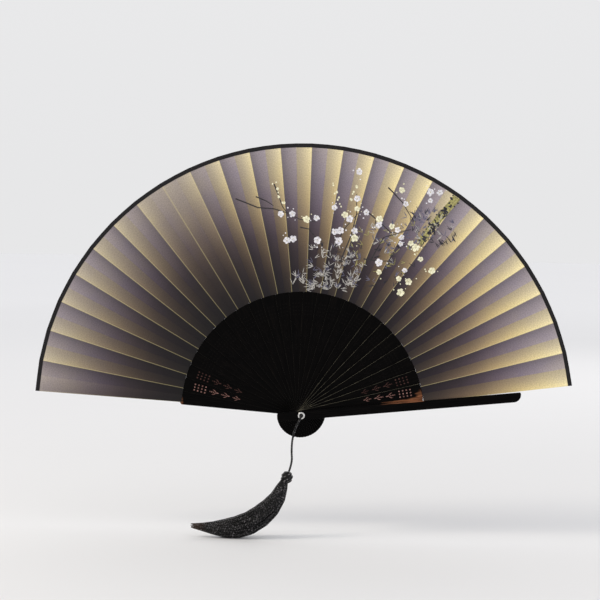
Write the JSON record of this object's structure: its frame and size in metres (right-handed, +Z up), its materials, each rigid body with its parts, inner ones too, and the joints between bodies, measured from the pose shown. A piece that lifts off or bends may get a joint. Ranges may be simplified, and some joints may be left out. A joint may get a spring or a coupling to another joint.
{
  "type": "folding fan",
  "caption": "Hand fan with lacquered sandalwood sticks, a pleated painted silk leaf, an eyelet rivet and a hanging tassel; it opens to a wide half disc and folds shut.",
  "frame": {"origin": "middle of the rivet that all the sticks turn on", "axes": "+Z up along the open fan's middle, +X to the right seen from the painted side, -Y out of the painted side, rivet along Y"},
  "size_m": [0.378, 0.0465, 0.2758],
  "materials": {
    "lacquered_wood": "satin black lacquer over sandalwood",
    "guard_wood": "satin black lacquer over sandalwood",
    "silk_leaf": "dyed silk, darker towards the sticks",
    "rivet_metal": "polished",
    "tassel_thread": "twisted rayon thread"
  },
  "bodies": {
    "rivet": {"eyelet_rivet": "rivet_metal", "rear_washer": "rivet_metal"},
    "guard_front": {"guard_front": "guard_wood"},
    "rib_01": {"rib_01": "lacquered_wood"},
    "rib_02": {"rib_02": "lacquered_wood"},
    "rib_03": {"rib_03": "lacquered_wood"},
    "rib_04": {"rib_04": "lacquered_wood"},
    "rib_05": {"rib_05": "lacquered_wood"},
    "rib_06": {"rib_06": "lacquered_wood"},
    "rib_07": {"rib_07": "lacquered_wood"},
    "rib_08": {"rib_08": "lacquered_wood"},
    "rib_09": {"rib_09": "lacquered_wood"},
    "rib_10": {"rib_10": "lacquered_wood"},
    "rib_11": {"rib_11": "lacquered_wood"},
    "rib_12": {"rib_12": "lacquered_wood"},
    "rib_13": {"rib_13": "lacquered_wood"},
    "rib_14": {"rib_14": "lacquered_wood"},
    "rib_15": {"rib_15": "lacquered_wood"},
    "rib_16": {"rib_16": "lacquered_wood"},
    "rib_17": {"rib_17": "lacquered_wood"},
    "rib_18": {"rib_18": "lacquered_wood"},
    "rib_19": {"rib_19": "lacquered_wood"},
    "rib_20": {"rib_20": "lacquered_wood"},
    "rib_21": {"rib_21": "lacquered_wood"},
    "rib_22": {"rib_22": "lacquered_wood"},
    "rib_23": {"rib_23": "lacquered_wood"},
    "rib_24": {"rib_24": "lacquered_wood"},
    "guard_rear": {"guard_rear": "guard_wood"},
    "leaf_fold_00": {"leaf_fold_00": "silk_leaf"},
    "leaf_fold_01": {"leaf_fold_01": "silk_leaf"},
    "leaf_fold_02": {"leaf_fold_02": "silk_leaf"},
    "leaf_fold_03": {"leaf_fold_03": "silk_leaf"},
    "leaf_fold_04": {"leaf_fold_04": "silk_leaf"},
    "leaf_fold_05": {"leaf_fold_05": "silk_leaf"},
    "leaf_fold_06": {"leaf_fold_06": "silk_leaf"},
    "leaf_fold_07": {"leaf_fold_07": "silk_leaf"},
    "leaf_fold_08": {"leaf_fold_08": "silk_leaf"},
    "leaf_fold_09": {"leaf_fold_09": "silk_leaf"},
    "leaf_fold_10": {"leaf_fold_10": "silk_leaf"},
    "leaf_fold_11": {"leaf_fold_11": "silk_leaf"},
    "leaf_fold_12": {"leaf_fold_12": "silk_leaf"},
    "leaf_fold_13": {"leaf_fold_13": "silk_leaf"},
    "leaf_fold_14": {"leaf_fold_14": "silk_leaf"},
    "leaf_fold_15": {"leaf_fold_15": "silk_leaf"},
    "leaf_fold_16": {"leaf_fold_16": "silk_leaf"},
    "leaf_fold_17": {"leaf_fold_17": "silk_leaf"},
    "leaf_fold_18": {"leaf_fold_18": "silk_leaf"},
    "leaf_fold_19": {"leaf_fold_19": "silk_leaf"},
    "leaf_fold_20": {"leaf_fold_20": "silk_leaf"},
    "leaf_fold_21": {"leaf_fold_21": "silk_leaf"},
    "leaf_fold_22": {"leaf_fold_22": "silk_leaf"},
    "leaf_fold_23": {"leaf_fold_23": "silk_leaf"},
    "leaf_fold_24": {"leaf_fold_24": "silk_leaf"},
    "tassel": {"tassel_cord": "tassel_thread", "tassel_head": "tassel_thread", "tassel_skirt": "tassel_thread"}
  },
  "joints": [
    {"name": "open_close", "type": "hinge", "parent": "rivet", "child": "guard_front", "pos_m": [0, 0, 0], "axis": [0, -1, 0], "range_deg": [0, 84.44]},
    {"name": "rib_01_turn", "type": "hinge", "parent": "rivet", "child": "rib_01", "pos_m": [0, 0, 0], "axis": [0, -1, 0], "range_deg": [0, 77.69]},
    {"name": "rib_02_turn", "type": "hinge", "parent": "rivet", "child": "rib_02", "pos_m": [0, 0, 0], "axis": [0, -1, 0], "range_deg": [0, 70.94]},
    {"name": "rib_03_turn", "type": "hinge", "parent": "rivet", "child": "rib_03", "pos_m": [0, 0, 0], "axis": [0, -1, 0], "range_deg": [0, 64.18]},
    {"name": "rib_04_turn", "type": "hinge", "parent": "rivet", "child": "rib_04", "pos_m": [0, 0, 0], "axis": [0, -1, 0], "range_deg": [0, 57.43]},
    {"name": "rib_05_turn", "type": "hinge", "parent": "rivet", "child": "rib_05", "pos_m": [0, 0, 0], "axis": [0, -1, 0], "range_deg": [0, 50.67]},
    {"name": "rib_06_turn", "type": "hinge", "parent": "rivet", "child": "rib_06", "pos_m": [0, 0, 0], "axis": [0, -1, 0], "range_deg": [0, 43.92]},
    {"name": "rib_07_turn", "type": "hinge", "parent": "rivet", "child": "rib_07", "pos_m": [0, 0, 0], "axis": [0, -1, 0], "range_deg": [0, 37.16]},
    {"name": "rib_08_turn", "type": "hinge", "parent": "rivet", "child": "rib_08", "pos_m": [0, 0, 0], "axis": [0, -1, 0], "range_deg": [0, 30.41]},
    {"name": "rib_09_turn", "type": "hinge", "parent": "rivet", "child": "rib_09", "pos_m": [0, 0, 0], "axis": [0, -1, 0], "range_deg": [0, 23.65]},
    {"name": "rib_10_turn", "type": "hinge", "parent": "rivet", "child": "rib_10", "pos_m": [0, 0, 0], "axis": [0, -1, 0], "range_deg": [0, 16.9]},
    {"name": "rib_11_turn", "type": "hinge", "parent": "rivet", "child": "rib_11", "pos_m": [0, 0, 0], "axis": [0, -1, 0], "range_deg": [0, 10.14]},
    {"name": "rib_12_turn", "type": "hinge", "parent": "rivet", "child": "rib_12", "pos_m": [0, 0, 0], "axis": [0, -1, 0], "range_deg": [0, 3.39]},
    {"name": "rib_13_turn", "type": "hinge", "parent": "rivet", "child": "rib_13", "pos_m": [0, 0, 0], "axis": [0, -1, 0], "range_deg": [-3.39, 0]},
    {"name": "rib_14_turn", "type": "hinge", "parent": "rivet", "child": "rib_14", "pos_m": [0, 0, 0], "axis": [0, -1, 0], "range_deg": [-10.14, 0]},
    {"name": "rib_15_turn", "type": "hinge", "parent": "rivet", "child": "rib_15", "pos_m": [0, 0, 0], "axis": [0, -1, 0], "range_deg": [-16.9, 0]},
    {"name": "rib_16_turn", "type": "hinge", "parent": "rivet", "child": "rib_16", "pos_m": [0, 0, 0], "axis": [0, -1, 0], "range_deg": [-23.65, 0]},
    {"name": "rib_17_turn", "type": "hinge", "parent": "rivet", "child": "rib_17", "pos_m": [0, 0, 0], "axis": [0, -1, 0], "range_deg": [-30.41, 0]},
    {"name": "rib_18_turn", "type": "hinge", "parent": "rivet", "child": "rib_18", "pos_m": [0, 0, 0], "axis": [0, -1, 0], "range_deg": [-37.16, 0]},
    {"name": "rib_19_turn", "type": "hinge", "parent": "rivet", "child": "rib_19", "pos_m": [0, 0, 0], "axis": [0, -1, 0], "range_deg": [-43.92, 0]},
    {"name": "rib_20_turn", "type": "hinge", "parent": "rivet", "child": "rib_20", "pos_m": [0, 0, 0], "axis": [0, -1, 0], "range_deg": [-50.67, 0]},
    {"name": "rib_21_turn", "type": "hinge", "parent": "rivet", "child": "rib_21", "pos_m": [0, 0, 0], "axis": [0, -1, 0], "range_deg": [-57.43, 0]},
    {"name": "rib_22_turn", "type": "hinge", "parent": "rivet", "child": "rib_22", "pos_m": [0, 0, 0], "axis": [0, -1, 0], "range_deg": [-64.18, 0]},
    {"name": "rib_23_turn", "type": "hinge", "parent": "rivet", "child": "rib_23", "pos_m": [0, 0, 0], "axis": [0, -1, 0], "range_deg": [-70.94, 0]},
    {"name": "rib_24_turn", "type": "hinge", "parent": "rivet", "child": "rib_24", "pos_m": [0, 0, 0], "axis": [0, -1, 0], "range_deg": [-77.69, 0]},
    {"name": "guard_rear_turn", "type": "hinge", "parent": "rivet", "child": "guard_rear", "pos_m": [0, 0, 0], "axis": [0, -1, 0], "range_deg": [-84.45, 0]},
    {"name": "fold_00", "type": "hinge", "parent": "guard_front", "child": "leaf_fold_00", "pos_m": [0, -0.0142, 0], "axis": [-0.9918, 0, -0.1278], "range_deg": [0, 159.63], "deforming": ["leaf_fold_00"]},
    {"name": "fold_01", "type": "hinge", "parent": "rib_01", "child": "leaf_fold_01", "pos_m": [0, -0.01198, 0], "axis": [-0.9683, 0.0083, -0.2495], "range_deg": [0, 153.9], "deforming": ["leaf_fold_01"]},
    {"name": "fold_02", "type": "hinge", "parent": "rib_02", "child": "leaf_fold_02", "pos_m": [0, -0.01096, 0], "axis": [-0.9323, 0.0083, -0.3617], "range_deg": [0, 153.9], "deforming": ["leaf_fold_02"]},
    {"name": "fold_03", "type": "hinge", "parent": "rib_03", "child": "leaf_fold_03", "pos_m": [0, -0.00994, 0], "axis": [-0.8833, 0.0083, -0.4688], "range_deg": [0, 153.9], "deforming": ["leaf_fold_03"]},
    {"name": "fold_04", "type": "hinge", "parent": "rib_04", "child": "leaf_fold_04", "pos_m": [0, -0.00892, 0], "axis": [-0.822, 0.0083, -0.5694], "range_deg": [0, 153.9], "deforming": ["leaf_fold_04"]},
    {"name": "fold_05", "type": "hinge", "parent": "rib_05", "child": "leaf_fold_05", "pos_m": [0, -0.0079, 0], "axis": [-0.7493, 0.0083, -0.6622], "range_deg": [0, 153.9], "deforming": ["leaf_fold_05"]},
    {"name": "fold_06", "type": "hinge", "parent": "rib_06", "child": "leaf_fold_06", "pos_m": [0, -0.00688, 0], "axis": [-0.6662, 0.0083, -0.7457], "range_deg": [0, 153.9], "deforming": ["leaf_fold_06"]},
    {"name": "fold_07", "type": "hinge", "parent": "rib_07", "child": "leaf_fold_07", "pos_m": [0, -0.00586, 0], "axis": [-0.5739, 0.0083, -0.8189], "range_deg": [0, 153.9], "deforming": ["leaf_fold_07"]},
    {"name": "fold_08", "type": "hinge", "parent": "rib_08", "child": "leaf_fold_08", "pos_m": [0, -0.00484, 0], "axis": [-0.4736, 0.0083, -0.8807], "range_deg": [0, 153.9], "deforming": ["leaf_fold_08"]},
    {"name": "fold_09", "type": "hinge", "parent": "rib_09", "child": "leaf_fold_09", "pos_m": [0, -0.00382, 0], "axis": [-0.3667, 0.0083, -0.9303], "range_deg": [0, 153.9], "deforming": ["leaf_fold_09"]},
    {"name": "fold_10", "type": "hinge", "parent": "rib_10", "child": "leaf_fold_10", "pos_m": [0, -0.0028, 0], "axis": [-0.2547, 0.0083, -0.967], "range_deg": [0, 153.9], "deforming": ["leaf_fold_10"]},
    {"name": "fold_11", "type": "hinge", "parent": "rib_11", "child": "leaf_fold_11", "pos_m": [0, -0.00178, 0], "axis": [-0.1392, 0.0083, -0.9902], "range_deg": [0, 153.9], "deforming": ["leaf_fold_11"]},
    {"name": "fold_12", "type": "hinge", "parent": "rib_12", "child": "leaf_fold_12", "pos_m": [0, -0.00076, 0], "axis": [-0.0218, 0.0083, -0.9997], "range_deg": [0, 153.9], "deforming": ["leaf_fold_12"]},
    {"name": "fold_13", "type": "hinge", "parent": "rib_13", "child": "leaf_fold_13", "pos_m": [0, 0.00026, 0], "axis": [0.096, 0.0083, -0.9953], "range_deg": [0, 153.9], "deforming": ["leaf_fold_13"]},
    {"name": "fold_14", "type": "hinge", "parent": "rib_14", "child": "leaf_fold_14", "pos_m": [0, 0.00128, 0], "axis": [0.2124, 0.0083, -0.9772], "range_deg": [0, 153.9], "deforming": ["leaf_fold_14"]},
    {"name": "fold_15", "type": "hinge", "parent": "rib_15", "child": "leaf_fold_15", "pos_m": [0, 0.0023, 0], "axis": [0.3258, 0.0083, -0.9454], "range_deg": [0, 153.9], "deforming": ["leaf_fold_15"]},
    {"name": "fold_16", "type": "hinge", "parent": "rib_16", "child": "leaf_fold_16", "pos_m": [0, 0.00332, 0], "axis": [0.4348, 0.0083, -0.9005], "range_deg": [0, 153.9], "deforming": ["leaf_fold_16"]},
    {"name": "fold_17", "type": "hinge", "parent": "rib_17", "child": "leaf_fold_17", "pos_m": [0, 0.00434, 0], "axis": [0.5377, 0.0083, -0.8431], "range_deg": [0, 153.9], "deforming": ["leaf_fold_17"]},
    {"name": "fold_18", "type": "hinge", "parent": "rib_18", "child": "leaf_fold_18", "pos_m": [0, 0.00536, 0], "axis": [0.6331, 0.0083, -0.774], "range_deg": [0, 153.9], "deforming": ["leaf_fold_18"]},
    {"name": "fold_19", "type": "hinge", "parent": "rib_19", "child": "leaf_fold_19", "pos_m": [0, 0.00638, 0], "axis": [0.7198, 0.0083, -0.6942], "range_deg": [0, 153.9], "deforming": ["leaf_fold_19"]},
    {"name": "fold_20", "type": "hinge", "parent": "rib_20", "child": "leaf_fold_20", "pos_m": [0, 0.0074, 0], "axis": [0.7964, 0.0083, -0.6047], "range_deg": [0, 153.9], "deforming": ["leaf_fold_20"]},
    {"name": "fold_21", "type": "hinge", "parent": "rib_21", "child": "leaf_fold_21", "pos_m": [0, 0.00842, 0], "axis": [0.862, 0.0083, -0.5068], "range_deg": [0, 153.9], "deforming": ["leaf_fold_21"]},
    {"name": "fold_22", "type": "hinge", "parent": "rib_22", "child": "leaf_fold_22", "pos_m": [0, 0.00944, 0], "axis": [0.9156, 0.0083, -0.4019], "range_deg": [0, 153.9], "deforming": ["leaf_fold_22"]},
    {"name": "fold_23", "type": "hinge", "parent": "rib_23", "child": "leaf_fold_23", "pos_m": [0, 0.01046, 0], "axis": [0.9566, 0.0083, -0.2914], "range_deg": [0, 153.9], "deforming": ["leaf_fold_23"]},
    {"name": "fold_24", "type": "hinge", "parent": "rib_24", "child": "leaf_fold_24", "pos_m": [0, 0.01148, 0], "axis": [0.9842, 0.0083, -0.1769], "range_deg": [0, 153.9], "deforming": ["leaf_fold_24"]},
    {"name": "tassel_swing", "type": "hinge", "parent": "rivet", "child": "tassel", "pos_m": [0, -0.0168, 0], "axis": [0, 1, 0], "range_deg": [0, 45]}
  ],
  "couplings": [
    {"joint": "rib_01_turn", "follows": "open_close", "ratio": 0.92},
    {"joint": "rib_02_turn", "follows": "open_close", "ratio": 0.84},
    {"joint": "rib_03_turn", "follows": "open_close", "ratio": 0.76},
    {"joint": "rib_04_turn", "follows": "open_close", "ratio": 0.68},
    {"joint": "rib_05_turn", "follows": "open_close", "ratio": 0.6},
    {"joint": "rib_06_turn", "follows": "open_close", "ratio": 0.52},
    {"joint": "rib_07_turn", "follows": "open_close", "ratio": 0.44},
    {"joint": "rib_08_turn", "follows": "open_close", "ratio": 0.36},
    {"joint": "rib_09_turn", "follows": "open_close", "ratio": 0.28},
    {"joint": "rib_10_turn", "follows": "open_close", "ratio": 0.2},
    {"joint": "rib_11_turn", "follows": "open_close", "ratio": 0.12},
    {"joint": "rib_12_turn", "follows": "open_close", "ratio": 0.04},
    {"joint": "rib_13_turn", "follows": "open_close", "ratio": -0.04},
    {"joint": "rib_14_turn", "follows": "open_close", "ratio": -0.12},
    {"joint": "rib_15_turn", "follows": "open_close", "ratio": -0.2},
    {"joint": "rib_16_turn", "follows": "open_close", "ratio": -0.28},
    {"joint": "rib_17_turn", "follows": "open_close", "ratio": -0.36},
    {"joint": "rib_18_turn", "follows": "open_close", "ratio": -0.44},
    {"joint": "rib_19_turn", "follows": "open_close", "ratio": -0.52},
    {"joint": "rib_20_turn", "follows": "open_close", "ratio": -0.6},
    {"joint": "rib_21_turn", "follows": "open_close", "ratio": -0.68},
    {"joint": "rib_22_turn", "follows": "open_close", "ratio": -0.76},
    {"joint": "rib_23_turn", "follows": "open_close", "ratio": -0.84},
    {"joint": "rib_24_turn", "follows": "open_close", "ratio": -0.92},
    {"joint": "guard_rear_turn", "follows": "open_close", "ratio": -1},
    {"joint": "fold_00", "follows": "open_close", "ratio": 1.8904},
    {"joint": "fold_01", "follows": "open_close", "ratio": 1.8225},
    {"joint": "fold_02", "follows": "open_close", "ratio": 1.8225},
    {"joint": "fold_03", "follows": "open_close", "ratio": 1.8225},
    {"joint": "fold_04", "follows": "open_close", "ratio": 1.8225},
    {"joint": "fold_05", "follows": "open_close", "ratio": 1.8225},
    {"joint": "fold_06", "follows": "open_close", "ratio": 1.8225},
    {"joint": "fold_07", "follows": "open_close", "ratio": 1.8225},
    {"joint": "fold_08", "follows": "open_close", "ratio": 1.8225},
    {"joint": "fold_09", "follows": "open_close", "ratio": 1.8225},
    {"joint": "fold_10", "follows": "open_close", "ratio": 1.8225},
    {"joint": "fold_11", "follows": "open_close", "ratio": 1.8225},
    {"joint": "fold_12", "follows": "open_close", "ratio": 1.8225},
    {"joint": "fold_13", "follows": "open_close", "ratio": 1.8225},
    {"joint": "fold_14", "follows": "open_close", "ratio": 1.8225},
    {"joint": "fold_15", "follows": "open_close", "ratio": 1.8225},
    {"joint": "fold_16", "follows": "open_close", "ratio": 1.8225},
    {"joint": "fold_17", "follows": "open_close", "ratio": 1.8225},
    {"joint": "fold_18", "follows": "open_close", "ratio": 1.8225},
    {"joint": "fold_19", "follows": "open_close", "ratio": 1.8225},
    {"joint": "fold_20", "follows": "open_close", "ratio": 1.8225},
    {"joint": "fold_21", "follows": "open_close", "ratio": 1.8225},
    {"joint": "fold_22", "follows": "open_close", "ratio": 1.8225},
    {"joint": "fold_23", "follows": "open_close", "ratio": 1.8225},
    {"joint": "fold_24", "follows": "open_close", "ratio": 1.8225}
  ]
}
